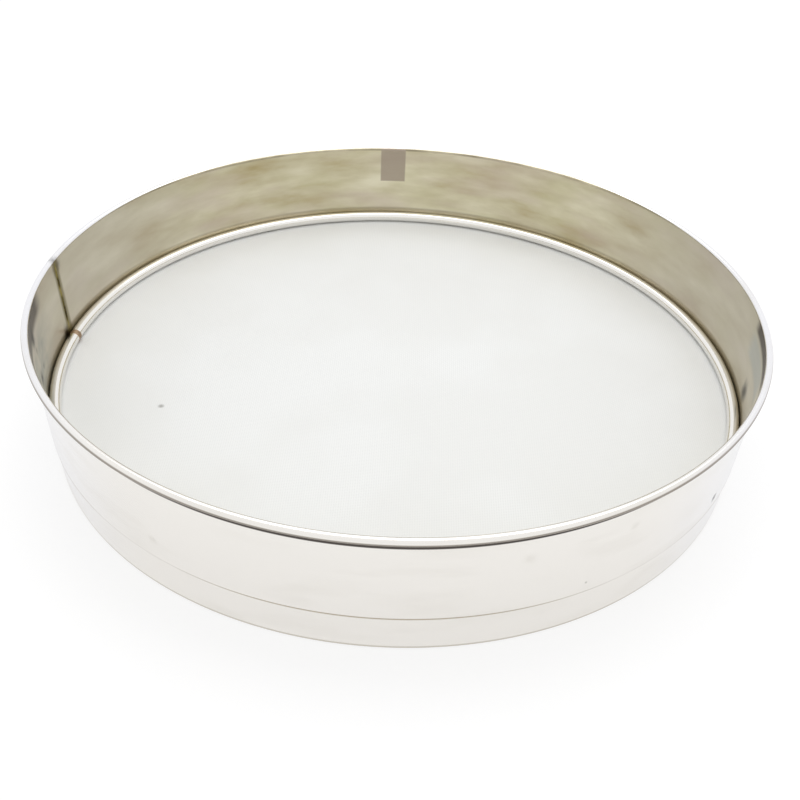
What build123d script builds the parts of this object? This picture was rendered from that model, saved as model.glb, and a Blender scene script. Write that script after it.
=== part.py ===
"""Laboratory test sieve, nominal 400 mm, full height, with a rolled rim and a nesting skirt.

Frame: +Z up, millimetres. The origin is on the sieve's own axis, in the plane of the skirt's foot.
Each separate piece is one STEP file in parts/.
"""
import os
from math import cos, degrees, hypot, radians, sin, sqrt, tan

from build123d import *

# ---- Driving dimensions: the frame strip ---------------------------------------------------
MOUTH_RADIUS = 200.0          # inside of the rim, where the next sieve's skirt goes in
WALL_DRAFT = 3.1              # lean of the wall, degrees: it narrows from the rim down
HEIGHT = 74.8                 # skirt's foot to the crown of the rim
SHEET = 0.8                   # stainless strip
RIM_DIAMETER = 4.2            # outside of the rolled rim
RIM_CURL_ANGLE = 300.0        # how far the strip is rolled round, degrees
RIM_FLATS = 9                 # flats that stand for the curl between its two straight ends
SHOULDER_HEIGHT = 21.3        # skirt's foot to the underside of the shoulder
SHOULDER_BEND = 0.7           # bend radius on the strip's middle line
BEND_FLATS = 1                # flats that stand for each bend of the shoulder
NESTING_CLEARANCE = 4.2       # radial play of the skirt in the mouth of the sieve below
FOOT_BEND = 2.0               # the foot turns in on this radius, as a lead for nesting
FOOT_TURN = 32.0              # how far it turns in, degrees
FOOT_TRIM = 1.0               # strip beyond the foot that is ground off flat
FOOT_FLATS = 1                # flats that stand for the foot's turn

# ---- Driving dimensions: wire cloth --------------------------------------------------------
CLOTH_THICKNESS = 0.4
WIRE_PITCH = 7.0              # each drawn wire stands for a bundle of the real fine ones
WIRE_WIDTH = 2.0
WIRE_CROWN = 0.9              # width of the flat that stands for a wire's round top
WIRE_PROUD = 0.15             # wire above the face of the cloth
WIRE_END_MARGIN = 1.3         # wires stop this far inside the hoop
APERTURE = 2.4                # side of a drawn opening, clear through the cloth
APERTURE_STEP = 5             # one opening in every fifth mesh, both ways
APERTURE_EDGE_MARGIN = 16.0   # no opening nearer than this to the ends of the wires

# ---- Driving dimensions: hoop and joints ---------------------------------------------------
HOOP_WIRE = 6.6               # round rod that draws the cloth down over the shoulder
HOOP_FLATS = 12               # flats that stand for the rod's round section
HOOP_WALL_CLEARANCE = 0.1     # rod to the inside of the wall
HOOP_SEAT_CLEARANCE = 0.1     # cloth to the rod, and cloth to the shoulder, where it slopes
HOOP_JOINT_LENGTH = 3.2       # brazed butt joint, along the rod
HOOP_JOINT_AZIMUTH = 176.1    # degrees from +X
SEAM_AZIMUTH = 175.4          # where the strip's two ends are welded
SEAM_WIDTH = 3.0
SEAM_PROUD = 0.5              # weld bead above the inner face of the strip
SEAM_END_GAP = 1.0            # bead stops this far short of a bend or of the hoop

# ---- Derived -------------------------------------------------------------------------------
DRAFT_RUN = tan(radians(WALL_DRAFT))
DRAFT_COS = cos(radians(WALL_DRAFT))
SKIRT_MIDDLE = MOUTH_RADIUS - NESTING_CLEARANCE - SHEET / 2
SKIRT_INNER = SKIRT_MIDDLE - SHEET / 2
LEDGE_MIDDLE = SHOULDER_HEIGHT + SHEET / 2
LEDGE_TOP = SHOULDER_HEIGHT + SHEET
FOOT_RISE = FOOT_BEND * sin(radians(FOOT_TURN))
RIM_BEND = (RIM_DIAMETER - SHEET) / 2
RIM_CENTRE = Vector(MOUTH_RADIUS + RIM_DIAMETER / 2, HEIGHT - RIM_DIAMETER / 2)
LOWER_BEND_CENTRE = Vector(SKIRT_MIDDLE + SHOULDER_BEND, LEDGE_MIDDLE - SHOULDER_BEND)
UPPER_BEND_RISE = LEDGE_MIDDLE + SHOULDER_BEND
UPPER_BEND_CENTRE = Vector(
    RIM_CENTRE.X
    - (RIM_BEND + SHOULDER_BEND) / DRAFT_COS
    - (RIM_CENTRE.Y - UPPER_BEND_RISE) * DRAFT_RUN,
    UPPER_BEND_RISE,
)
SLOPE_OFFSET = SHOULDER_BEND + SHEET / 2 + HOOP_SEAT_CLEARANCE + CLOTH_THICKNESS / 2
HOOP_OFFSET = SLOPE_OFFSET + CLOTH_THICKNESS / 2 + HOOP_SEAT_CLEARANCE + HOOP_WIRE / 2
# The hoop touches both the leaning wall and the cloth on the shoulder. Its middle would stand
# BEND_TO_HOOP inside the lower bend's centre if it were level with it; it leans out as it rises.
HOOP_TO_UPPER_BEND = HOOP_WIRE / 2 + HOOP_WALL_CLEARANCE + SHEET / 2 - SHOULDER_BEND
BEND_TO_HOOP = (
    LOWER_BEND_CENTRE.X
    - UPPER_BEND_CENTRE.X
    + HOOP_TO_UPPER_BEND / DRAFT_COS
    + (UPPER_BEND_CENTRE.Y - LOWER_BEND_CENTRE.Y) * DRAFT_RUN
)
HOOP_RISE = DRAFT_COS * (
    BEND_TO_HOOP * DRAFT_RUN * DRAFT_COS
    + sqrt(HOOP_OFFSET ** 2 - (BEND_TO_HOOP * DRAFT_COS) ** 2)
)
HOOP_RUN = BEND_TO_HOOP - HOOP_RISE * DRAFT_RUN
HOOP_RADIUS = LOWER_BEND_CENTRE.X - HOOP_RUN
HOOP_HEIGHT = LOWER_BEND_CENTRE.Y + HOOP_RISE
HOOP_TOP = HOOP_HEIGHT + HOOP_WIRE / 2
HOOP_JOINT_ANGLE = degrees(HOOP_JOINT_LENGTH / HOOP_RADIUS)
CLOTH_TOP = HOOP_HEIGHT - HOOP_WIRE / 2
CLOTH_MIDDLE = CLOTH_TOP - CLOTH_THICKNESS / 2
CLOTH_BOTTOM = CLOTH_TOP - CLOTH_THICKNESS
CLOTH_RADIUS = UPPER_BEND_CENTRE.X
WIRE_FIELD_RADIUS = HOOP_RADIUS - HOOP_WIRE / 2 - WIRE_END_MARGIN
APERTURE_FIELD_RADIUS = WIRE_FIELD_RADIUS - APERTURE_EDGE_MARGIN


def around(centre, radius, angle):
    """The point at an angle round a centre, in the plane of a section."""
    return centre + Vector(radius * cos(radians(angle)), radius * sin(radians(angle)))


def bend(centre, radius, start, turn, flats):
    """Corners of a bend drawn as flats, each of which touches the true radius."""
    step = turn / (flats + 1)
    reach = radius / cos(radians(step / 2))
    return [around(centre, reach, start + step * (index + 0.5)) for index in range(flats + 1)]


def strip_middle_line():
    """The strip's middle line, from below the turned-in foot to the end of the rolled rim."""
    foot_centre = Vector(SKIRT_MIDDLE - FOOT_BEND, FOOT_RISE)
    foot_turn = FOOT_TURN + degrees(FOOT_TRIM / FOOT_BEND)
    return Polyline(
        around(foot_centre, FOOT_BEND, -foot_turn),
        *bend(foot_centre, FOOT_BEND, -foot_turn, foot_turn, FOOT_FLATS),
        *bend(LOWER_BEND_CENTRE, SHOULDER_BEND, 180, -90, BEND_FLATS),
        *bend(UPPER_BEND_CENTRE, SHOULDER_BEND, -90, 90 - WALL_DRAFT, BEND_FLATS),
        *bend(RIM_CENTRE, RIM_BEND, 180 - WALL_DRAFT, WALL_DRAFT - RIM_CURL_ANGLE, RIM_FLATS),
        around(RIM_CENTRE, RIM_BEND, 180 - RIM_CURL_ANGLE),
    )


def frame_ring():
    """Rim, wall, shoulder and skirt: one strip, rolled to its section and closed to a ring."""
    section = trace(strip_middle_line(), line_width=SHEET)
    ring = revolve(Plane.XZ * section, Axis.Z)
    waste = Cylinder(MOUTH_RADIUS, HEIGHT, align=(Align.CENTER, Align.CENTER, Align.MAX))
    return ring - waste


def weld_bead(radius, bottom, top, lean):
    """A rounded bead up the inner face of the strip, from its inner radius at the bottom."""
    half = degrees(SEAM_WIDTH / 2 / radius)
    left = around(Vector(0, 0), radius, SEAM_AZIMUTH + half)
    right = around(Vector(0, 0), radius, SEAM_AZIMUTH - half)
    wall_side = ThreePointArc(left, around(Vector(0, 0), radius, SEAM_AZIMUTH), right)
    crown = around(Vector(0, 0), radius - SEAM_PROUD, SEAM_AZIMUTH)
    bead_side = ThreePointArc(right, crown, left)
    section = make_face([wall_side, bead_side])
    outwards = around(Vector(0, 0), lean, SEAM_AZIMUTH)
    along = Vector(outwards.X, outwards.Y, 1).normalized()
    return Pos(0, 0, bottom) * extrude(section, (top - bottom) / along.Z, dir=along)


def frame_seam_weld():
    """The weld that closes the strip to a ring: a bead on the wall and one on the skirt."""
    wall_bottom = HOOP_TOP + SEAM_END_GAP
    wall_face = UPPER_BEND_CENTRE.X + (SHOULDER_BEND - SHEET / 2) / DRAFT_COS
    wall_radius = wall_face + (wall_bottom - UPPER_BEND_CENTRE.Y) * DRAFT_RUN
    on_wall = weld_bead(wall_radius, wall_bottom, RIM_CENTRE.Y, DRAFT_RUN)
    skirt_top = LOWER_BEND_CENTRE.Y - SEAM_END_GAP
    on_skirt = weld_bead(SKIRT_INNER, FOOT_RISE + SEAM_END_GAP, skirt_top, 0)
    return Compound([on_wall, on_skirt])


def mesh_lines():
    """Distances of the drawn wires from the middle of the cloth, half a pitch off centre."""
    each_side = int(WIRE_FIELD_RADIUS / WIRE_PITCH)
    places = [WIRE_PITCH * (index + 0.5) for index in range(-each_side, each_side)]
    return [place for place in places if abs(place) < WIRE_FIELD_RADIUS - WIRE_WIDTH / 2]


def wire(offset, face_height):
    """One drawn wire along Y: a low ridge on a face of the cloth, rooted in the middle."""
    half_length = sqrt(WIRE_FIELD_RADIUS ** 2 - (abs(offset) + WIRE_WIDTH / 2) ** 2)
    proud = face_height + (WIRE_PROUD if face_height > CLOTH_MIDDLE else -WIRE_PROUD)
    left = offset - WIRE_WIDTH / 2
    right = offset + WIRE_WIDTH / 2
    section = Polyline(
        (left, CLOTH_MIDDLE), (left, face_height),
        (offset - WIRE_CROWN / 2, proud), (offset + WIRE_CROWN / 2, proud),
        (right, face_height), (right, CLOTH_MIDDLE), close=True,
    )
    return extrude(Plane.XZ * make_face(section), half_length, both=True)


def aperture_centres():
    """Middles of the drawn openings: one mesh in every few, inside the aperture field."""
    spacing = WIRE_PITCH * APERTURE_STEP
    each_side = int(APERTURE_FIELD_RADIUS / spacing)
    steps = [spacing * index for index in range(-each_side, each_side + 1)]
    return [(x, y) for x in steps for y in steps if hypot(x, y) <= APERTURE_FIELD_RADIUS]


def cloth_sheet():
    """The cloth as a plain sheet: flat inside the hoop, then up over the shoulder to the ledge."""
    to_hoop = Vector(-HOOP_RUN, HOOP_HEIGHT - LOWER_BEND_CENTRE.Y).normalized()
    on_slope = LOWER_BEND_CENTRE + to_hoop * SLOPE_OFFSET
    run_per_rise = -to_hoop.Y / to_hoop.X
    edge_height = LEDGE_TOP + CLOTH_THICKNESS / 2
    middle_line = Polyline(
        (0, CLOTH_MIDDLE),
        (on_slope.X + (CLOTH_MIDDLE - on_slope.Y) * run_per_rise, CLOTH_MIDDLE),
        (on_slope.X + (edge_height - on_slope.Y) * run_per_rise, edge_height),
        (CLOTH_RADIUS, edge_height),
    )
    return revolve(Plane.XZ * trace(middle_line, line_width=CLOTH_THICKNESS), Axis.Z)


def wire_cloth():
    """Woven cloth: a thin sheet, warp ridges above, weft ridges below, and open meshes."""
    warp = [wire(offset, CLOTH_TOP) for offset in mesh_lines()]
    weft = [Rot(0, 0, 90) * wire(offset, CLOTH_BOTTOM) for offset in mesh_lines()]
    opening = Box(APERTURE, APERTURE, 2 * CLOTH_THICKNESS)
    openings = [Pos(x, y, CLOTH_MIDDLE) * opening for x, y in aperture_centres()]
    return (cloth_sheet() - openings) + warp + weft


def hoop_stretch(start, turn):
    """A stretch of the hoop's rod, from one azimuth on through a turn."""
    section = RegularPolygon(
        HOOP_WIRE / 2, HOOP_FLATS, major_radius=False, rotation=180 / HOOP_FLATS
    )
    rod = Plane.XZ * Pos(HOOP_RADIUS, HOOP_HEIGHT) * section
    return Rot(0, 0, start) * revolve(rod, Axis.Z, revolution_arc=turn)


def retaining_hoop():
    """The rod bent to an open ring; its two ends meet at the brazed joint."""
    return hoop_stretch(HOOP_JOINT_AZIMUTH + HOOP_JOINT_ANGLE / 2, 360 - HOOP_JOINT_ANGLE)


def hoop_joint_braze():
    """The brazed slug that joins the ends of the hoop."""
    return hoop_stretch(HOOP_JOINT_AZIMUTH - HOOP_JOINT_ANGLE / 2, HOOP_JOINT_ANGLE)


PIECES = {
    "frame_ring": frame_ring,
    "frame_seam_weld": frame_seam_weld,
    "wire_cloth": wire_cloth,
    "retaining_hoop": retaining_hoop,
    "hoop_joint_braze": hoop_joint_braze,
}

os.makedirs("parts", exist_ok=True)
for name, make_piece in PIECES.items():
    export_step(make_piece(), f"parts/{name}.step")
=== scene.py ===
# %% [markdown]
# # A laboratory test sieve
#
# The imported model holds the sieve's real sizes as plain solids with flats for curves. This lesson
# lays smooth, finished pieces over them: the rolled strip, the wire cloth, the hoop, the weld
# and the brazed joint. Every piece keeps the place and the size of the solid it stands for.

# %% Load the frame
import math

import bmesh
import bpy
from mathutils import Matrix, Vector, noise


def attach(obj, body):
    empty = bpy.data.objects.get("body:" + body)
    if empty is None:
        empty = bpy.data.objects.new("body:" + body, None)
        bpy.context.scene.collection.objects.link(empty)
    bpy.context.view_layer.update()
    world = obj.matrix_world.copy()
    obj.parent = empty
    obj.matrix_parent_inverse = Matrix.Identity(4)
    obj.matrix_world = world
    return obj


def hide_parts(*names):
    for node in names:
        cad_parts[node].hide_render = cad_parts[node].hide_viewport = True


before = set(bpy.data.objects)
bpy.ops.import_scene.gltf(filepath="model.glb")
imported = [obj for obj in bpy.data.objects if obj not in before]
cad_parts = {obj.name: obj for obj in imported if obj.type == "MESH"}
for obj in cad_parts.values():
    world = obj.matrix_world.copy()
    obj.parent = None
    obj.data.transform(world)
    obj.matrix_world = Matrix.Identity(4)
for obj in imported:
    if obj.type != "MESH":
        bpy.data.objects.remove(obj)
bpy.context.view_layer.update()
print("solids:", ", ".join(sorted(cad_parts)))

# %% [markdown]
# ## Sizes
#
# The strip is one piece of sheet: the foot turns in, the skirt rises to a shoulder, the wall
# stands on the shoulder and its edge is rolled outwards to a bead. Each bend is an arc here, where
# the solids have flats, so the rim is drawn in by a hair, TUCK, and stays inside the solids.
# The wall leans by its draft: it is a little wider at the rim than at the cloth.

# %% Sizes, in millimetres
MM = 0.001
TUCK = 0.08
MOUTH_RADIUS = 200.0
WALL_DRAFT = 3.1
HEIGHT = 74.8
SHEET = 0.8
RIM_DIAMETER = 4.2
RIM_TURN = 300.0
SHOULDER_HEIGHT = 21.3
SHOULDER_BEND = 0.7
NESTING_CLEARANCE = 4.2
FOOT_BEND = 2.0
FOOT_TURN = 32.0
CLOTH_THICKNESS = 0.4
HOOP_WIRE = 6.6
HOOP_WALL_CLEARANCE = 0.1
HOOP_SEAT_CLEARANCE = 0.1
HOOP_JOINT_LENGTH = 3.2
HOOP_JOINT_AZIMUTH = 176.1
SEAM_AZIMUTH = 175.4
SEAM_WIDTH = 3.0
SEAM_PROUD = 0.5
SEAM_END_GAP = 1.0

DRAFT_RUN = math.tan(math.radians(WALL_DRAFT))
DRAFT_COS = math.cos(math.radians(WALL_DRAFT))
SKIRT_MIDDLE = MOUTH_RADIUS - NESTING_CLEARANCE - SHEET / 2
SKIRT_INNER = SKIRT_MIDDLE - SHEET / 2
LEDGE_MIDDLE = SHOULDER_HEIGHT + SHEET / 2
LEDGE_TOP = SHOULDER_HEIGHT + SHEET
FOOT_RISE = FOOT_BEND * math.sin(math.radians(FOOT_TURN))
RIM_BEND = (RIM_DIAMETER - SHEET) / 2
RIM_CENTRE = (MOUTH_RADIUS + RIM_DIAMETER / 2, HEIGHT - RIM_DIAMETER / 2)
LOWER_BEND_CENTRE = (SKIRT_MIDDLE + SHOULDER_BEND, LEDGE_MIDDLE - SHOULDER_BEND)
UPPER_BEND_CENTRE = (
    RIM_CENTRE[0] - (RIM_BEND + SHOULDER_BEND) / DRAFT_COS
    - (RIM_CENTRE[1] - LEDGE_MIDDLE - SHOULDER_BEND) * DRAFT_RUN,
    LEDGE_MIDDLE + SHOULDER_BEND,
)
SLOPE_OFFSET = SHOULDER_BEND + SHEET / 2 + HOOP_SEAT_CLEARANCE + CLOTH_THICKNESS / 2
HOOP_OFFSET = SLOPE_OFFSET + CLOTH_THICKNESS / 2 + HOOP_SEAT_CLEARANCE + HOOP_WIRE / 2
HOOP_TO_UPPER_BEND = HOOP_WIRE / 2 + HOOP_WALL_CLEARANCE + SHEET / 2 - SHOULDER_BEND
BEND_TO_HOOP = (
    LOWER_BEND_CENTRE[0] - UPPER_BEND_CENTRE[0] + HOOP_TO_UPPER_BEND / DRAFT_COS
    + (UPPER_BEND_CENTRE[1] - LOWER_BEND_CENTRE[1]) * DRAFT_RUN
)
HOOP_RISE = DRAFT_COS * (
    BEND_TO_HOOP * DRAFT_RUN * DRAFT_COS
    + math.sqrt(HOOP_OFFSET**2 - (BEND_TO_HOOP * DRAFT_COS) ** 2)
)
HOOP_RUN = BEND_TO_HOOP - HOOP_RISE * DRAFT_RUN
HOOP_RADIUS = LOWER_BEND_CENTRE[0] - HOOP_RUN
HOOP_HEIGHT = LOWER_BEND_CENTRE[1] + HOOP_RISE
CLOTH_TOP = HOOP_HEIGHT - HOOP_WIRE / 2
CLOTH_BOTTOM = CLOTH_TOP - CLOTH_THICKNESS
CLOTH_RADIUS = UPPER_BEND_CENTRE[0]


def wall_radius(height, side=0.0):
    """Radius of the wall's middle line at a height; side moves it towards a face, + inwards."""
    middle = UPPER_BEND_CENTRE[0] + SHOULDER_BEND / DRAFT_COS
    return middle - side * SHEET / 2 / DRAFT_COS + (height - UPPER_BEND_CENTRE[1]) * DRAFT_RUN


print(f"cloth at {CLOTH_TOP:.2f} mm, hoop's middle at {HOOP_HEIGHT:.2f} mm")

# %% [markdown]
# ## Helpers for nodes and meshes
#
# One function adds a node with its settings and its links. It serves the modelling trees and the
# finishes alike, because both are node trees.


# %% Add a node, build a modelling tree, run it
def add(tree, kind, links=None, **settings):
    """A node with its settings; links maps a socket's name or number to a source or a value."""
    node = tree.nodes.new(kind)
    for name, value in settings.items():
        setattr(node, name, value)
    for socket, source in (links or {}).items():
        if isinstance(source, bpy.types.NodeSocket):
            tree.links.new(source, node.inputs[socket])
        else:
            node.inputs[socket].default_value = source
    return node


def new_tree(name, inputs):
    """A modelling tree whose named inputs are its sizes, and its input node."""
    tree = bpy.data.node_groups.new(name, "GeometryNodeTree")
    for socket, kind in inputs.items():
        tree.interface.new_socket(socket, in_out="INPUT", socket_type=kind)
    tree.interface.new_socket("Geometry", in_out="OUTPUT", socket_type="NodeSocketGeometry")
    return tree, tree.nodes.new("NodeGroupInput")


def finish_tree(tree, geometry, material):
    """Ends a tree: instances made real, and the material laid on."""
    real = add(tree, "GeometryNodeRealizeInstances", {"Geometry": geometry})
    dressed = add(tree, "GeometryNodeSetMaterial",
                  {"Geometry": real.outputs[0], "Material": material})
    add(tree, "NodeGroupOutput", {0: dressed.outputs[0]})


def run_tree(piece, tree, sizes):
    """Runs a tree on a piece, keeps the result as its plain mesh and drops the modifier."""
    modifier = piece.modifiers.new(tree.name, "NODES")
    modifier.node_group = tree
    for item in tree.interface.items_tree:
        if item.name in sizes:
            modifier[item.identifier] = sizes[item.name]
    graph = bpy.context.evaluated_depsgraph_get()
    made = bpy.data.meshes.new_from_object(piece.evaluated_get(graph))
    piece.modifiers.clear()
    piece.data = made
    return piece


def close_and_smooth(piece, sharp=35.0):
    """Merges doubles, drops stray edges, turns the faces outwards and shades them smooth."""
    shell = bmesh.new()
    shell.from_mesh(piece.data)
    bmesh.ops.remove_doubles(shell, verts=shell.verts, dist=1e-6)
    stray = [edge for edge in shell.edges if not edge.link_faces]
    bmesh.ops.delete(shell, geom=stray, context="EDGES")
    bmesh.ops.delete(shell, geom=[spot for spot in shell.verts if not spot.link_faces], context="VERTS")
    bmesh.ops.recalc_face_normals(shell, faces=shell.faces)
    if shell.calc_volume(signed=True) < 0:
        bmesh.ops.reverse_faces(shell, faces=shell.faces)
    shell.to_mesh(piece.data)
    open_edges = sum(1 for edge in shell.edges if len(edge.link_faces) != 2)
    shell.free()
    piece.data.polygons.foreach_set("use_smooth", [True] * len(piece.data.polygons))
    piece.data.set_sharp_from_angle(angle=math.radians(sharp))
    print(piece.name, len(piece.data.polygons), "faces,", open_edges, "open edges")


def put(name, mesh):
    """An object for a mesh, in the scene, at the origin."""
    piece = bpy.data.objects.new(name, mesh)
    bpy.context.scene.collection.objects.link(piece)
    return piece


# %% [markdown]
# ## Colours and finishes
#
# Colours are written as they look on a screen, and one function turns them to the linear
# values that the shader wants.


# %% Colours
def linear(text):
    """An sRGB hex colour as a linear RGBA value."""
    parts = [int(text[place:place + 2], 16) / 255 for place in (1, 3, 5)]
    return [c / 12.92 if c <= 0.04045 else ((c + 0.055) / 1.055) ** 2.4 for c in parts] + [1.0]


def new_finish(name):
    """A material with an empty node tree."""
    material = bpy.data.materials.new(name)
    material.use_nodes = True
    material.node_tree.nodes.clear()
    return material, material.node_tree


def on_ring(radius, azimuth, height):
    """The place, in metres, at an azimuth and a height on a cylinder round the axis."""
    turn = math.radians(azimuth)
    return Vector((radius * math.cos(turn), radius * math.sin(turn), height)) * MM


# %% [markdown]
# ## Finish of the strip
#
# Cold-rolled stainless strip with a bright face: its rolling lines run round the ring. Outside it
# is bare and nearly white. Inside, the steel is painted khaki and darker, a painted reflection of
# the darker room and the cloth, with pink, olive and paler clouds that are drawn out sideways like
# the rolling lines. The lines of real strip are about 0.05 mm apart; they are drawn 1.6 mm apart,
# so that they show at all. The clouds are about 45 mm long and 12 mm high. The helpers below add to
# the tree in hand, so the cloth's finish uses them too.

# %% Bright-rolled stainless strip: where on the strip a point is
strip_steel, tree = new_finish("Bright-rolled stainless strip")
place = add(tree, "ShaderNodeTexCoord").outputs["Object"]
parts = add(tree, "ShaderNodeSeparateXYZ", {0: place})
flat = add(tree, "ShaderNodeCombineXYZ", {0: parts.outputs["X"], 1: parts.outputs["Y"]})
radius = add(tree, "ShaderNodeVectorMath", {0: flat.outputs[0]}, operation="LENGTH").outputs["Value"]
height = parts.outputs["Z"]
azimuth_now = add(tree, "ShaderNodeMath", {0: parts.outputs["Y"], 1: parts.outputs["X"]},
                  operation="ARCTAN2").outputs[0]


def both(*covers):
    """The product of several covers: 1 only where all of them are."""
    result = covers[0]
    for cover in covers[1:]:
        result = add(tree, "ShaderNodeMath", {0: result, 1: cover}, operation="MULTIPLY").outputs[0]
    return result


def partly(cover, share):
    """A cover at a share of its strength."""
    return add(tree, "ShaderNodeMath", {0: cover, 1: share}, operation="MULTIPLY").outputs[0]


def between(value, low, high, soft):
    """1 between two values, with soft edges."""
    rise = add(tree, "ShaderNodeMapRange", {"Value": value, "From Min": low - soft, "From Max": low + soft},
               interpolation_type="SMOOTHSTEP").outputs[0]
    fall = add(tree, "ShaderNodeMapRange", {"Value": value, "From Min": high - soft, "From Max": high + soft,
                                            "To Min": 1.0, "To Max": 0.0},
               interpolation_type="SMOOTHSTEP").outputs[0]
    return both(rise, fall)


def up(low, high, soft):
    """1 between two heights in millimetres."""
    return between(height, low * MM, high * MM, soft * MM)


def turned(low, high, soft=1.0):
    """1 between two azimuths in degrees, counted from -180 to 180."""
    return between(azimuth_now, math.radians(low), math.radians(high), math.radians(soft))


def tinted(under, cover, tint):
    """A colour laid over another where a cover says so."""
    return add(tree, "ShaderNodeMix", {"Factor": cover, 6: under, 7: linear(tint)},
               data_type="RGBA").outputs[2]


def drawn_noise(length, high, detail=3.0, seed=0.0):
    """Noise drawn out round the ring, from the length and height of its clouds in millimetres."""
    moved = add(tree, "ShaderNodeVectorMath", {0: place, 1: (seed, seed, 0.0)}).outputs[0]
    scaled = add(tree, "ShaderNodeVectorMath",
                 {0: moved, 1: (1 / (length * MM), 1 / (length * MM), 1 / (high * MM))},
                 operation="MULTIPLY").outputs[0]
    return add(tree, "ShaderNodeTexNoise", {"Vector": scaled, "Scale": 1.0, "Detail": detail}).outputs[0]


def ramp(value, *stops):
    """A colour ramp from (position, hex) stops."""
    node = add(tree, "ShaderNodeValToRGB", {0: value})
    while len(node.color_ramp.elements) < len(stops):
        node.color_ramp.elements.new(0.5)
    for element, (position, tint) in zip(node.color_ramp.elements, stops):
        element.position = position
        element.color = linear(tint)
    return node.outputs[0]


# %% Inner face, outer face and their colours
wall_limit = add(tree, "ShaderNodeMath", {0: height, 1: DRAFT_RUN, 2: wall_radius(0.0) * MM},
                 operation="MULTIPLY_ADD").outputs[0]
on_wall = add(tree, "ShaderNodeMath", {0: height, 1: LEDGE_MIDDLE * MM}, operation="GREATER_THAN").outputs[0]
limit = add(tree, "ShaderNodeMix", {"Factor": on_wall, 2: SKIRT_MIDDLE * MM, 3: wall_limit}).outputs[0]
rim_lip = add(tree, "ShaderNodeMath", {0: height, 1: RIM_CENTRE[1] * MM}, operation="GREATER_THAN").outputs[0]
sideways = add(tree, "ShaderNodeMath", {0: parts.outputs["X"]}, operation="ABSOLUTE").outputs[0]
at_sides = add(tree, "ShaderNodeMapRange", {"Value": sideways, "From Min": 0.11, "From Max": 0.2},
               interpolation_type="SMOOTHSTEP").outputs[0]
lip_edge = add(tree, "ShaderNodeMath", {0: at_sides, 1: -1.1 * MM, 2: (MOUTH_RADIUS + 1.3) * MM},
               operation="MULTIPLY_ADD").outputs[0]
limit = add(tree, "ShaderNodeMix", {"Factor": rim_lip, 2: limit, 3: lip_edge}).outputs[0]
inside = add(tree, "ShaderNodeMath", {0: radius, 1: limit}, operation="LESS_THAN").outputs[0]
outside = add(tree, "ShaderNodeMath", {0: 1.0, 1: inside}, operation="SUBTRACT").outputs[0]

# Inside: painted reflection of the darker room and the cloth, a khaki tone with pink, olive and paler clouds.
painted_reflection_inside = ramp(drawn_noise(45, 12, 4.0), (0.26, "#B3A37B"), (0.48, "#CBC3A5"), (0.74, "#E4DEC6"))
pink = add(tree, "ShaderNodeMapRange", {"Value": drawn_noise(60, 16, 3.0, 0.7), "From Min": 0.48,
                                        "From Max": 0.72, "To Max": 0.45}).outputs[0]
painted_reflection_inside = tinted(painted_reflection_inside, pink, "#CDBDB4")
olive = add(tree, "ShaderNodeMapRange", {"Value": drawn_noise(70, 20, 3.0, 1.9), "From Min": 0.52,
                                         "From Max": 0.75, "To Max": 0.5}).outputs[0]
painted_reflection_inside = tinted(painted_reflection_inside, olive, "#C3BE92")
# Greyer towards the left and right ends inside: painted reflection.
painted_reflection_inside = tinted(painted_reflection_inside, partly(at_sides, 0.6), "#C4BEB4")
# Outside: bare steel, bluish-white towards the left and right ends and warmer in the middle as a painted
# reflection, with real smudges.
outer_steel_and_reflection = add(tree, "ShaderNodeMix", {"Factor": at_sides, 6: linear("#EFECE7"), 7: linear("#EFEFF2")},
           data_type="RGBA").outputs[2]
smudged = add(tree, "ShaderNodeMapRange", {"Value": drawn_noise(50, 14, 3.0, 3.1), "From Min": 0.5,
                                           "From Max": 0.8, "To Max": 0.35}).outputs[0]
outer_steel_and_reflection = tinted(outer_steel_and_reflection, smudged, "#DCD8D0")
colour = add(tree, "ShaderNodeMix", {"Factor": inside, 6: outer_steel_and_reflection, 7: painted_reflection_inside}, data_type="RGBA").outputs[2]

# %% Painted shade under the rim, on the bead's lower half and at the shoulder, a darker foot edge, and the tinted lip of the rim
# A dark band on the wall just under the bead, a little lighter at the sides: painted shade under the rim.
painted_shade_under_rim = both(outside, up(67.0, 71.6, 0.25), between(radius, 0.19, 0.2037, 0.0001))
rim_shade_strength = add(tree, "ShaderNodeMapRange", {"Value": at_sides, "To Min": 0.95, "To Max": 0.8}).outputs[0]
# The bead's lower outer half painted grey, reaching higher towards the sides: painted shade on the rim's
# underside.
from_middle = add(tree, "ShaderNodeMapRange", {"Value": sideways, "From Min": 0.03, "From Max": 0.17},
                  interpolation_type="SMOOTHSTEP").outputs[0]
low_height = add(tree, "ShaderNodeMath", {0: from_middle, 1: -1.1 * MM, 2: height},
                 operation="MULTIPLY_ADD").outputs[0]
painted_shade_rim_low = both(outside, between(low_height, 68.0 * MM, 72.7 * MM, 0.4 * MM),
               between(radius, 0.2022, 0.21, 0.0003))
colour = tinted(colour, partly(painted_shade_rim_low, 0.9), "#877E73")
colour = tinted(colour, both(painted_shade_under_rim, rim_shade_strength), "#3A322D")
# A brown line in the crease under the shoulder: painted shade, with mottled dirt.
shoulder_height = add(tree, "ShaderNodeMath", {0: at_sides, 1: -1.0 * MM, 2: height},
                      operation="MULTIPLY_ADD").outputs[0]
shoulder_shade_and_grime = both(outside, between(shoulder_height, 20.6 * MM, 22.1 * MM, 0.25 * MM))
colour = tinted(colour, both(shoulder_shade_and_grime, ramp(drawn_noise(30, 30), (0.3, "#FFFFFF"), (0.7, "#B0B0B0"))),
                "#8A7354")
# The skirt darker just below the shoulder's step: painted shade.
colour = tinted(colour, both(outside, up(18.9, 20.8, 0.35)), "#B0A692")
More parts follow.
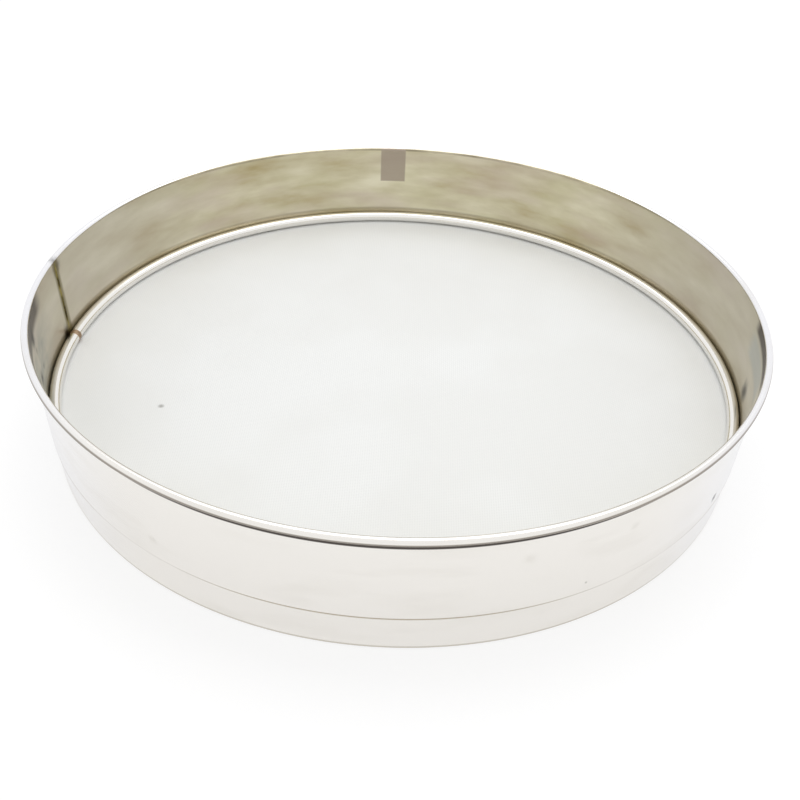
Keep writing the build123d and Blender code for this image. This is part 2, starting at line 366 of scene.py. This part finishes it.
# Darker along the bottom edge of the foot.
colour = tinted(colour, both(outside, up(-1.0, 1.2, 0.5)), "#C9C3B8")
lip = both(inside, up(RIM_CENTRE[1] + 0.6, HEIGHT + 1, 0.4))
colour = tinted(colour, both(lip, ramp(drawn_noise(25, 30, 3.0, 5.0), (0.35, "#FFFFFF"), (0.75, "#707070"))),
                "#8E8670")

# %% Painted shade by the hoop, painted reflections of the darker room, heat marks, stains and spots
# The wall darker behind and just above the hoop: painted shade in the corner.
hoop_corner_shade = both(inside, up(22.0, 31.0, 1.0))
colour = tinted(colour, partly(hoop_corner_shade, 0.6), "#8D8267")
# Dark bands high on the inner wall at the left and at the right, with paler haze below them: painted
# reflections of the darker room.
painted_reflection_left = both(inside, turned(-174, -150, 2.5), up(64.5, 90.0, 3.0))
colour = tinted(colour, partly(painted_reflection_left, 0.9), "#43372F")
reflection_haze_left = both(inside, turned(-174, -150, 6.0), up(0.0, 58.0, 8.0))
reflection_haze_left = both(reflection_haze_left, ramp(drawn_noise(14, 9, 4.0, 7.0), (0.35, "#FFFFFF"), (0.7, "#606060")))
colour = tinted(colour, reflection_haze_left, "#A3A49A")
painted_reflection_right = both(inside, turned(-22, -3.5, 1.5), up(67.5, 90.0, 1.8))
colour = tinted(colour, partly(painted_reflection_right, 0.95), "#42372F")
reflection_haze_right = both(inside, turned(-18, -3, 2.0), up(52.0, 65.5, 2.5))
colour = tinted(colour, partly(reflection_haze_right, 0.6), "#B4BAB8")


def lay_spot(under, spot, size, tint, strength, ragged=0.35):
    """Lays a soft round spot of a size in millimetres over a colour; it draws stains and painted reflections
    alike.
    """
    away = add(tree, "ShaderNodeVectorMath", {0: place, 1: spot}, operation="DISTANCE").outputs["Value"]
    rough = add(tree, "ShaderNodeTexNoise", {"Vector": place, "Scale": 1.3 / (size * MM)}).outputs[0]
    edge = add(tree, "ShaderNodeMath", {0: rough, 1: -2 * ragged * size * MM, 2: away},
               operation="MULTIPLY_ADD").outputs[0]
    cover = add(tree, "ShaderNodeMapRange",
                {"Value": edge, "From Min": -ragged * size * MM, "From Max": size * MM * (1 - ragged),
                 "To Min": strength, "To Max": 0.0}, interpolation_type="SMOOTHSTEP").outputs[0]
    return tinted(under, cover, tint)


MARKS_AND_PAINTED_REFLECTIONS = [
    # azimuth, height, which face (1 inner, -1 outer), radius in mm, tint, strength
    # Scorch beside the weld.
    (SEAM_AZIMUTH - 0.3, 70.3, 1, 7.5, "#2A2318", 1.0),
    (SEAM_AZIMUTH + 0.8, 29.0, 1, 8.0, "#2B261D", 0.95),
    # Painted reflections of the darker room on the left of the inner wall:
    (194.6, 64.5, 1, 9.0, "#2E2A24", 1.0),
    (191.8, 40.3, 1, 3.0, "#5C574A", 0.6),
    (198.9, 44.3, 1, 4.0, "#3A352C", 0.8),
    (195.6, 41.0, 1, 6.5, "#2F2B25", 0.9),
    (194.0, 55.0, 1, 3.0, "#4B463C", 0.6),
    # A painted reflection of the darker room on the right of the inner wall:
    (351.9, 36.6, 1, 9.5, "#3F3D38", 0.9),
    # Stains, a speck and smudges on the outer face:
    (325.3, 30.1, -1, 3.4, "#16151C", 1.0),
    (297.7, 28.2, -1, 1.2, "#A8A499", 0.6),
    (237.2, 33.7, -1, 4.0, "#DAD6CE", 0.4),
    (288.3, 54.9, -1, 5.0, "#DAD6CE", 0.35),
    (303.9, 55.9, -1, 4.0, "#DAD6CE", 0.35),
]
for azimuth, high, face, size, tint, strength in MARKS_AND_PAINTED_REFLECTIONS:
    colour = lay_spot(colour, on_ring(wall_radius(high, face), azimuth, high), size, tint, strength)

patch = both(inside, turned(90.5, 95.5, 0.15), up(51.0, 90.0, 0.4))
colour = tinted(colour, partly(patch, 0.85), "#A4978A")
seam_heat = both(inside, turned(SEAM_AZIMUTH - 1.0, SEAM_AZIMUTH + 0.9, 0.4))
colour = tinted(colour, partly(seam_heat, 0.8), "#80754F")

# %% Rolling lines and gloss
lines = drawn_noise(80, 1.6, 2.0)
line_bump = add(tree, "ShaderNodeBump", {"Height": lines, "Strength": 0.01, "Distance": 0.0001})
polish = add(tree, "ShaderNodeMapRange", {"Value": lines, "To Min": 0.2, "To Max": 0.28}).outputs[0]
dulled = add(tree, "ShaderNodeMath", {0: inside, 1: 0.12, 2: polish}, operation="MULTIPLY_ADD").outputs[0]
shader = add(tree, "ShaderNodeBsdfPrincipled",
             {"Base Color": colour, "Metallic": 1.0, "Roughness": dulled, "Normal": line_bump.outputs[0]})
add(tree, "ShaderNodeOutputMaterial", {"Surface": shader.outputs[0]})
print(strip_steel.name, len(tree.nodes), "nodes")

# %% [markdown]
# ## Finish of the cloth
#
# Plain-woven stainless wire cloth. Its own wires are a tenth of a millimetre thick, far too fine
# to show, so the weave is drawn with wires 1.2 mm apart: pale crowns that cross over and under,
# and slightly darker meshes between. Thousands of round wires scatter the light, so the cloth
# looks satin, not like a mirror.

# %% Woven stainless wire cloth
cloth_steel, tree = new_finish("Woven stainless wire cloth")
WIRE_PITCH = 1.2 * MM
place = add(tree, "ShaderNodeTexCoord").outputs["Object"]
parts = add(tree, "ShaderNodeSeparateXYZ", {0: place})
waves = []
for axis in ("X", "Y"):
    phase = add(tree, "ShaderNodeMath", {0: parts.outputs[axis], 1: math.pi / WIRE_PITCH},
                operation="MULTIPLY").outputs[0]
    waves.append(add(tree, "ShaderNodeMath", {0: phase}, operation="SINE").outputs[0])
crossing = both(*waves)
tops = [add(tree, "ShaderNodeMath", {0: wave}, operation="ABSOLUTE").outputs[0] for wave in waves]
over = add(tree, "ShaderNodeMath", {0: tops[0], 1: tops[1]}, operation="MAXIMUM").outputs[0]
weave = add(tree, "ShaderNodeMath", {0: crossing, 1: 0.35, 2: over}, operation="MULTIPLY_ADD").outputs[0]
weave_bump = add(tree, "ShaderNodeBump", {"Height": weave, "Strength": 0.15, "Distance": 0.0002})
drift = add(tree, "ShaderNodeTexNoise", {"Vector": place, "Scale": 14.0, "Detail": 2.0}).outputs[0]
mesh_shade = add(tree, "ShaderNodeMapRange", {"Value": over, "From Min": 0.3, "To Min": 0.0, "To Max": 1.0})
base = add(tree, "ShaderNodeMix", {"Factor": mesh_shade.outputs[0], 6: linear("#E4E5E4"),
                                   7: linear("#EEEFEE")}, data_type="RGBA").outputs[2]
soft = add(tree, "ShaderNodeMapRange", {"Value": drift, "From Min": 0.4, "From Max": 0.6,
                                        "To Min": 0.0, "To Max": 0.35}).outputs[0]
base = add(tree, "ShaderNodeMix", {"Factor": soft, 6: base, 7: linear("#E4E4E1")},
           data_type="RGBA").outputs[2]
speck = add(tree, "ShaderNodeVectorMath", {0: place, 1: Vector((-129.6, -48.4, CLOTH_TOP)) * MM},
            operation="DISTANCE").outputs["Value"]
speck = add(tree, "ShaderNodeMapRange", {"Value": speck, "From Min": 0.6 * MM, "From Max": 2.2 * MM,
                                         "To Min": 0.65, "To Max": 0.0}).outputs[0]
base = tinted(base, speck, "#7F7C76")
shader = add(tree, "ShaderNodeBsdfPrincipled",
             {"Base Color": base, "Metallic": 0.06, "Roughness": 0.55, "Normal": weave_bump.outputs[0]})
add(tree, "ShaderNodeOutputMaterial", {"Surface": shader.outputs[0]})
print(cloth_steel.name, len(tree.nodes), "nodes")

# %% [markdown]
# ## Finishes of the hoop, the weld and the brazed joint
#
# The hoop is bright-drawn rod: almost a mirror, with faint draw lines along it. The weld is steel
# that cooled with a straw and brown heat tint. The joint of the hoop is brazing brass, dulled by
# flux and heat.

# %% Drawn rod, weld metal, brazing brass
rod_steel, tree = new_finish("Bright-drawn stainless rod")
place = add(tree, "ShaderNodeTexCoord").outputs["Object"]
grain = add(tree, "ShaderNodeVectorMath", {0: place, 1: (15.0, 15.0, 1 / (0.5 * MM))}, operation="MULTIPLY")
drawn = add(tree, "ShaderNodeTexNoise", {"Vector": grain.outputs[0], "Scale": 1.0}).outputs[0]
draw_bump = add(tree, "ShaderNodeBump", {"Height": drawn, "Strength": 0.03, "Distance": 0.0002})
gloss = add(tree, "ShaderNodeMapRange", {"Value": drawn, "To Min": 0.1, "To Max": 0.2}).outputs[0]
shader = add(tree, "ShaderNodeBsdfPrincipled",
             {"Base Color": linear("#EFEDE9"), "Metallic": 1.0, "Roughness": gloss,
              "Normal": draw_bump.outputs[0]})
add(tree, "ShaderNodeOutputMaterial", {"Surface": shader.outputs[0]})

weld_steel, tree = new_finish("Heat-tinted weld metal")
place = add(tree, "ShaderNodeTexCoord").outputs["Object"]
burnt = add(tree, "ShaderNodeTexNoise", {"Vector": place, "Scale": 1 / (6 * MM), "Detail": 4.0}).outputs[0]
tint = add(tree, "ShaderNodeValToRGB", {0: burnt})
tint.color_ramp.elements[0].position = 0.35
tint.color_ramp.elements[0].color = linear("#4A4128")
tint.color_ramp.elements[1].position = 0.7
tint.color_ramp.elements[1].color = linear("#A3975F")
shader = add(tree, "ShaderNodeBsdfPrincipled",
             {"Base Color": tint.outputs[0], "Metallic": 1.0, "Roughness": 0.42})
add(tree, "ShaderNodeOutputMaterial", {"Surface": shader.outputs[0]})

braze_brass, tree = new_finish("Dulled brazing brass")
place = add(tree, "ShaderNodeTexCoord").outputs["Object"]
patina = add(tree, "ShaderNodeTexNoise", {"Vector": place, "Scale": 1 / (1.5 * MM), "Detail": 3.0}).outputs[0]
tint = add(tree, "ShaderNodeValToRGB", {0: patina})
tint.color_ramp.elements[0].color = linear("#7A6450")
tint.color_ramp.elements[1].color = linear("#C0A78C")
pits = add(tree, "ShaderNodeBump", {"Height": patina, "Strength": 0.4, "Distance": 0.0003})
shader = add(tree, "ShaderNodeBsdfPrincipled",
             {"Base Color": tint.outputs[0], "Metallic": 0.9, "Roughness": 0.5, "Normal": pits.outputs[0]})
add(tree, "ShaderNodeOutputMaterial", {"Surface": shader.outputs[0]})
print("finishes:", rod_steel.name, weld_steel.name, braze_brass.name)

# %% [markdown]
# ## The sweep
#
# The strip and the cloth are both one section carried once round the axis, so one tree makes
# both. The section is drawn as a loop of edges where it really lies, X out from the axis and Z
# up. The tree turns it into a profile and carries it round a circle.

# %% Tree: carry a section round the axis
sweep, given = new_tree("Section carried round", {
    "Section": "NodeSocketGeometry", "Ring radius": "NodeSocketFloat",
    "Steps round": "NodeSocketInt", "Material": "NodeSocketMaterial"})
loop = add(sweep, "GeometryNodeMeshToCurve", {0: given.outputs["Section"]})
back = add(sweep, "ShaderNodeMath", {0: given.outputs["Ring radius"], 1: -1.0}, operation="MULTIPLY")
shift = add(sweep, "ShaderNodeCombineXYZ", {0: back.outputs[0]})
profile = add(sweep, "GeometryNodeTransform",
              {"Geometry": loop.outputs[0], "Translation": shift.outputs[0],
               "Rotation": (math.pi / 2, 0.0, 0.0)})
path = add(sweep, "GeometryNodeCurvePrimitiveCircle",
           {"Resolution": given.outputs["Steps round"], "Radius": given.outputs["Ring radius"]})
upright = add(sweep, "GeometryNodeSetCurveNormal", {"Curve": path.outputs[0]}, mode="Z_UP")
swept = add(sweep, "GeometryNodeCurveToMesh",
            {"Curve": upright.outputs[0], "Profile Curve": profile.outputs[0]})
finish_tree(sweep, swept.outputs[0], given.outputs["Material"])
print(sweep.name, len(sweep.nodes), "nodes")


def carried_round(name, outline, material, steps=360):
    """A piece made by carrying a closed outline of (radius, height) points round the axis."""
    mesh = bpy.data.meshes.new(name)
    ring = list(range(len(outline)))
    mesh.from_pydata([(x * MM, 0.0, z * MM) for x, z in outline],
                     list(zip(ring, ring[1:] + ring[:1])), [])
    piece = put(name, mesh)
    run_tree(piece, sweep, {"Ring radius": MOUTH_RADIUS * MM, "Steps round": steps, "Material": material})
    close_and_smooth(piece)
    return piece


# %% [markdown]
# ## The strip
#
# The section is the middle line of the sheet, pushed half a sheet to each side. Long straight
# runs get extra points close to their ends: smooth shading blends the normals of neighbouring
# faces, and without these points the roundness of a bend would creep up the flat wall.


# %% The rolled ring of strip
def arc(centre, radius, start, turn, step=7.0):
    """Points on an arc, in degrees, with both ends."""
    count = max(2, math.ceil(abs(turn) / step))
    angles = [math.radians(start + turn * index / count) for index in range(count + 1)]
    return [(centre[0] + radius * math.cos(a), centre[1] + radius * math.sin(a)) for a in angles]


def strip_side(side):
    """One face of the strip, foot to the end of the curl; side is +1 inwards, -1 outwards."""
    foot_centre = (SKIRT_MIDDLE - FOOT_BEND, FOOT_RISE)
    foot_radius = FOOT_BEND - side * SHEET / 2
    foot_start = -math.degrees(math.asin(FOOT_RISE / foot_radius))
    points = arc(foot_centre, foot_radius, foot_start, -foot_start)
    bends = [
        (LOWER_BEND_CENTRE, SHOULDER_BEND + side * SHEET / 2, 180, -90, 12),
        (UPPER_BEND_CENTRE, SHOULDER_BEND - side * SHEET / 2, -90, 90 - WALL_DRAFT, 12),
        (RIM_CENTRE, RIM_BEND - TUCK / 2 + side * (SHEET - TUCK) / 2, 180 - WALL_DRAFT,
         WALL_DRAFT - RIM_TURN, 9),
    ]
    for centre, radius, start, turn, step in bends:
        curve = arc(centre, radius, start, turn, step)
        before, after = Vector(points[-1]), Vector(curve[0])
        run = (after - before).length
        if run > 5:
            holds = (0.25 / run, 0.5, 1 - 0.25 / run)
            points += [tuple(before.lerp(after, share)) for share in holds]
        points += curve
    return points


outline = strip_side(1) + strip_side(-1)[::-1]
strip = carried_round("rolled_strip_ring", outline, strip_steel, steps=480)
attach(strip, "root")
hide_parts("frame_ring")

# %% [markdown]
# ## The cloth
#
# The cloth is stretched flat inside the hoop. Under the hoop it climbs over the shoulder and ends
# on the ledge.

# %% The stretched wire cloth
to_hoop = Vector((-HOOP_RUN, HOOP_HEIGHT - LOWER_BEND_CENTRE[1])).normalized()
on_slope = Vector(LOWER_BEND_CENTRE) + to_hoop * SLOPE_OFFSET
slope = Vector((to_hoop[1], -to_hoop[0]))
half = CLOTH_THICKNESS / 2


def slope_at(offset, height):
    """Where the slope's line, moved an offset off its middle, reaches a height."""
    start = on_slope + to_hoop * offset
    return (start[0] + slope[0] * (height - start[1]) / slope[1], height)


upper_face = [(reach, CLOTH_TOP) for reach in (0.0, 60.0, 120.0, 180.0, 194.0)]
lower_face = [(reach, CLOTH_BOTTOM) for reach in (194.0, 180.0, 100.0, 0.0)]
over_shoulder = [
    slope_at(half, CLOTH_TOP), slope_at(half, LEDGE_TOP + CLOTH_THICKNESS),
    (CLOTH_RADIUS, LEDGE_TOP + CLOTH_THICKNESS), (CLOTH_RADIUS, LEDGE_TOP),
    slope_at(-half, LEDGE_TOP), slope_at(-half, CLOTH_BOTTOM),
]
outline = upper_face + over_shoulder + lower_face
cloth = carried_round("stretched_wire_cloth", outline, cloth_steel, steps=240)
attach(cloth, "root")
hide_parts("wire_cloth")

# %% [markdown]
# ## The hoop
#
# A rod bent to a ring. Its path is an arc that stops short at the brazed joint, so this tree
# has its own inputs for where the arc starts and how far it sweeps, and the ends are filled.

# %% Tree: a rod along an arc
rod_tree, given = new_tree("Rod along an arc", {
    "Geometry": "NodeSocketGeometry", "Hoop radius": "NodeSocketFloat", "Rod radius": "NodeSocketFloat",
    "Height": "NodeSocketFloat", "Start": "NodeSocketFloat", "Sweep": "NodeSocketFloat",
    "Material": "NodeSocketMaterial"})
path = add(rod_tree, "GeometryNodeCurveArc",
           {"Resolution": 480, "Radius": given.outputs["Hoop radius"],
            "Start Angle": given.outputs["Start"], "Sweep Angle": given.outputs["Sweep"]})
upright = add(rod_tree, "GeometryNodeSetCurveNormal", {"Curve": path.outputs[0]}, mode="Z_UP")
section = add(rod_tree, "GeometryNodeCurvePrimitiveCircle",
              {"Resolution": 32, "Radius": given.outputs["Rod radius"]})
swept = add(rod_tree, "GeometryNodeCurveToMesh",
            {"Curve": upright.outputs[0], "Profile Curve": section.outputs[0], "Fill Caps": True})
lift = add(rod_tree, "ShaderNodeCombineXYZ", {2: given.outputs["Height"]})
raised = add(rod_tree, "GeometryNodeTransform",
             {"Geometry": swept.outputs[0], "Translation": lift.outputs[0]})
finish_tree(rod_tree, raised.outputs[0], given.outputs["Material"])
print(rod_tree.name, len(rod_tree.nodes), "nodes")

# %% The retaining hoop
joint_angle = HOOP_JOINT_LENGTH / HOOP_RADIUS
joint_middle = math.radians(HOOP_JOINT_AZIMUTH)
hoop = put("retaining_rod_hoop", bpy.data.meshes.new("retaining_rod_hoop"))
run_tree(hoop, rod_tree, {
    "Hoop radius": HOOP_RADIUS * MM, "Rod radius": HOOP_WIRE / 2 * MM, "Height": HOOP_HEIGHT * MM,
    "Start": joint_middle + joint_angle / 2, "Sweep": 2 * math.pi - joint_angle, "Material": rod_steel})
close_and_smooth(hoop)
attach(hoop, "root")
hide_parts("retaining_hoop")

# %% [markdown]
# ## The brazed joint and the weld
#
# Molten metal leaves neither of them even. The joint is a short collar of filler whose skin
# swells and dips, and the weld is a bead with a ripple for each drop that was added. Both are
# small grids of points, moved by a formula and by seeded noise.


# %% The brazed joint
def collar(name, length, swell, rings=16, sides=28):
    """A lumpy collar of filler round the rod, closed at both ends."""
    shell = bmesh.new()
    rows = []
    for ring in range(rings + 1):
        share = ring / rings
        turn = joint_middle + length * (share - 0.5) / HOOP_RADIUS
        grown = HOOP_WIRE / 2 * (1 + swell * math.sin(math.pi * share) ** 0.5)
        row = []
        for side in range(sides):
            angle = 2 * math.pi * side / sides
            lump = noise.noise(Vector((share * 3, 2 * math.cos(angle), 2 * math.sin(angle)))) * 0.12
            reach = grown + lump * math.sin(math.pi * share)
            out = HOOP_RADIUS + reach * math.cos(angle)
            high = HOOP_HEIGHT + max(reach * math.sin(angle), -HOOP_WIRE / 2)
            row.append(shell.verts.new(Vector((out * math.cos(turn), out * math.sin(turn), high)) * MM))
        rows.append(row)
    for low, high in zip(rows, rows[1:]):
        for a, b, c, d in zip(low, low[1:] + low[:1], high[1:] + high[:1], high):
            shell.faces.new((a, b, c, d))
    shell.faces.new(rows[0])
    shell.faces.new(rows[-1][::-1])
    mesh = bpy.data.meshes.new(name)
    shell.to_mesh(mesh)
    shell.free()
    piece = put(name, mesh)
    mesh.materials.append(braze_brass)
    close_and_smooth(piece)
    return piece


joint = collar("hoop_brazed_joint", HOOP_JOINT_LENGTH + 1.2, 0.03)
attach(joint, "root")
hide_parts("hoop_joint_braze")


# %% The weld that closes the strip
def bead(shell, face, bottom, top, across=9, ripple=1.3):
    """A rippled bead up an inner face, whose radius face(height) gives, closed all round."""
    rows_up = max(8, int((top - bottom) / ripple * 6))
    grid = []
    for up in range(rows_up + 1):
        share = up / rows_up
        high = bottom + (top - bottom) * share
        radius = face(high)
        taper = min(1.0, 6 * min(share, 1 - share) + 0.15)
        row = []
        for side in range(across + 1):
            place = 2 * side / across - 1
            sag = high - 0.5 * (1 - place * place)
            wave = 0.85 + 0.15 * math.cos(2 * math.pi * sag / ripple)
            wander = 0.25 * noise.noise(Vector((0.0, 3.1, high / 4)))
            width = SEAM_WIDTH / 2 * (0.85 + 0.12 * noise.noise(Vector((7.0, place, high / 3)))) * taper
            proud = SEAM_PROUD * wave * taper * (1 - place * place)
            turn = math.radians(SEAM_AZIMUTH) + (place * width + wander) / radius
            out = radius - proud
            row.append(shell.verts.new(Vector((out * math.cos(turn), out * math.sin(turn), high)) * MM))
        for side in (1, 0):
            place = 2 * side - 1
            turn = math.radians(SEAM_AZIMUTH) + place * SEAM_WIDTH * 0.42 * taper / radius
            out = radius + 0.2
            row.append(shell.verts.new(Vector((out * math.cos(turn), out * math.sin(turn), high)) * MM))
        grid.append(row)
    for low, high in zip(grid, grid[1:]):
        for a, b, c, d in zip(low, low[1:] + low[:1], high[1:] + high[:1], high):
            shell.faces.new((a, b, c, d))
    shell.faces.new(grid[0])
    shell.faces.new(grid[-1][::-1])


shell = bmesh.new()
bead(shell, lambda high: wall_radius(high, 1), HOOP_HEIGHT + HOOP_WIRE / 2 + SEAM_END_GAP, RIM_CENTRE[1])
bead(shell, lambda high: SKIRT_INNER, FOOT_RISE + SEAM_END_GAP, LOWER_BEND_CENTRE[1] - SEAM_END_GAP)
mesh = bpy.data.meshes.new("strip_seam_weld")
shell.to_mesh(mesh)
shell.free()
weld = put("strip_seam_weld", mesh)
mesh.materials.append(weld_steel)
close_and_smooth(weld)
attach(weld, "root")
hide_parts("frame_seam_weld")

# %% [markdown]
# ## Floor and light
#
# Bright steel shows what stands round it, so the room matters as much as the lamps: a white
# floor and a white room all round, with one large lamp overhead. The floor is white to the camera
# and in reflections, and still takes a soft shadow.

# %% White floor
FLOOR_REACH = 4
WHITE = (1.0, 1.0, 1.0, 1.0)
floor_white, tree = new_finish("White paper sweep")
rays = add(tree, "ShaderNodeLightPath").outputs
seen = add(tree, "ShaderNodeMath", {0: rays["Is Camera Ray"], 1: rays["Is Glossy Ray"]}, operation="ADD")
seen = add(tree, "ShaderNodeMath", {0: seen.outputs[0], 1: rays["Is Transmission Ray"]},
           operation="ADD", use_clamp=True).outputs[0]
matt = add(tree, "ShaderNodeBsdfDiffuse", {"Color": linear("#E8E8E8")})
dim = add(tree, "ShaderNodeBsdfDiffuse", {"Color": linear("#9A9A9A")})
glow = add(tree, "ShaderNodeEmission", {"Color": WHITE, "Strength": 0.72})
bright = add(tree, "ShaderNodeAddShader", {0: dim.outputs[0], 1: glow.outputs[0]})
mixed = add(tree, "ShaderNodeMixShader", {0: seen, 1: matt.outputs[0], 2: bright.outputs[0]})
add(tree, "ShaderNodeOutputMaterial", {"Surface": mixed.outputs[0]})
mesh = bpy.data.meshes.new("floor")
corners = [(-FLOOR_REACH, -FLOOR_REACH, 0), (FLOOR_REACH, -FLOOR_REACH, 0),
           (FLOOR_REACH, FLOOR_REACH, 0), (-FLOOR_REACH, FLOOR_REACH, 0)]
mesh.from_pydata(corners, [], [(0, 1, 2, 3)])
floor = put("floor", mesh)
mesh.materials.append(floor_white)
print("floor reaches", FLOOR_REACH, "m from the middle")

# %% White room
world = bpy.data.worlds.new("White room")
world.use_nodes = True
bpy.context.scene.world = world
tree = world.node_tree
tree.nodes.clear()
rays = add(tree, "ShaderNodeLightPath").outputs
reflected = add(tree, "ShaderNodeBackground", {"Color": WHITE, "Strength": 1.0})
plain = add(tree, "ShaderNodeBackground", {"Color": WHITE, "Strength": 0.8})
white = add(tree, "ShaderNodeBackground", {"Color": WHITE, "Strength": 1.0})
shiny = add(tree, "ShaderNodeMath", {0: rays["Is Glossy Ray"], 1: rays["Is Transmission Ray"]},
            operation="ADD", use_clamp=True).outputs[0]
lit = add(tree, "ShaderNodeMixShader", {0: shiny, 1: plain.outputs[0], 2: reflected.outputs[0]})
shown = add(tree, "ShaderNodeMixShader", {0: rays["Is Camera Ray"], 1: lit.outputs[0], 2: white.outputs[0]})
add(tree, "ShaderNodeOutputWorld", {"Surface": shown.outputs[0]})
print(world.name, len(tree.nodes), "nodes")

# %% Overhead softbox
lamp_data = bpy.data.lights.new("Overhead softbox", "AREA")
lamp_data.shape = "RECTANGLE"
lamp_data.size = 1.6
lamp_data.size_y = 1.2
lamp_data.energy = 9.0
lamp = bpy.data.objects.new("Overhead softbox", lamp_data)
lamp.location = (0.1, 0.5, 1.5)
lamp.rotation_euler = (Vector((0, 0, 0.05)) - lamp.location).to_track_quat("-Z", "Y").to_euler()
bpy.context.scene.collection.objects.link(lamp)
print(lamp.name, lamp_data.energy, "W")

# %% [markdown]
# ## Camera
#
# The camera looks down into the sieve at about 38 degrees, close enough that the near wall
# looks deeper than the far one. Its roll tips the ring slightly to the right.

# %% Camera
LENS = 47.83
UPWARD_SHIFT = 0.05
CAMERA_PLACE = (3.987, -522.339, 375.210)
LOOKING_DOWN = 37.878
ROLL = 2.778

camera_data = bpy.data.cameras.new("Camera")
camera_data.sensor_width = 36.0
camera_data.lens = LENS
camera_data.shift_y = UPWARD_SHIFT
camera = bpy.data.objects.new("Camera", camera_data)
camera.location = Vector(CAMERA_PLACE) * MM
tilted = Matrix.Rotation(math.radians(90 - LOOKING_DOWN), 4, "X")
rolled = Matrix.Rotation(math.radians(ROLL), 4, "Z")
camera.rotation_euler = (tilted @ rolled).to_euler()
bpy.context.scene.collection.objects.link(camera)
bpy.context.scene.camera = camera
bpy.context.scene.view_settings.view_transform = "Standard"
print("camera:", CAMERA_PLACE, "mm, looking", LOOKING_DOWN, "degrees down")

# %% Update the scene
bpy.context.view_layer.update()
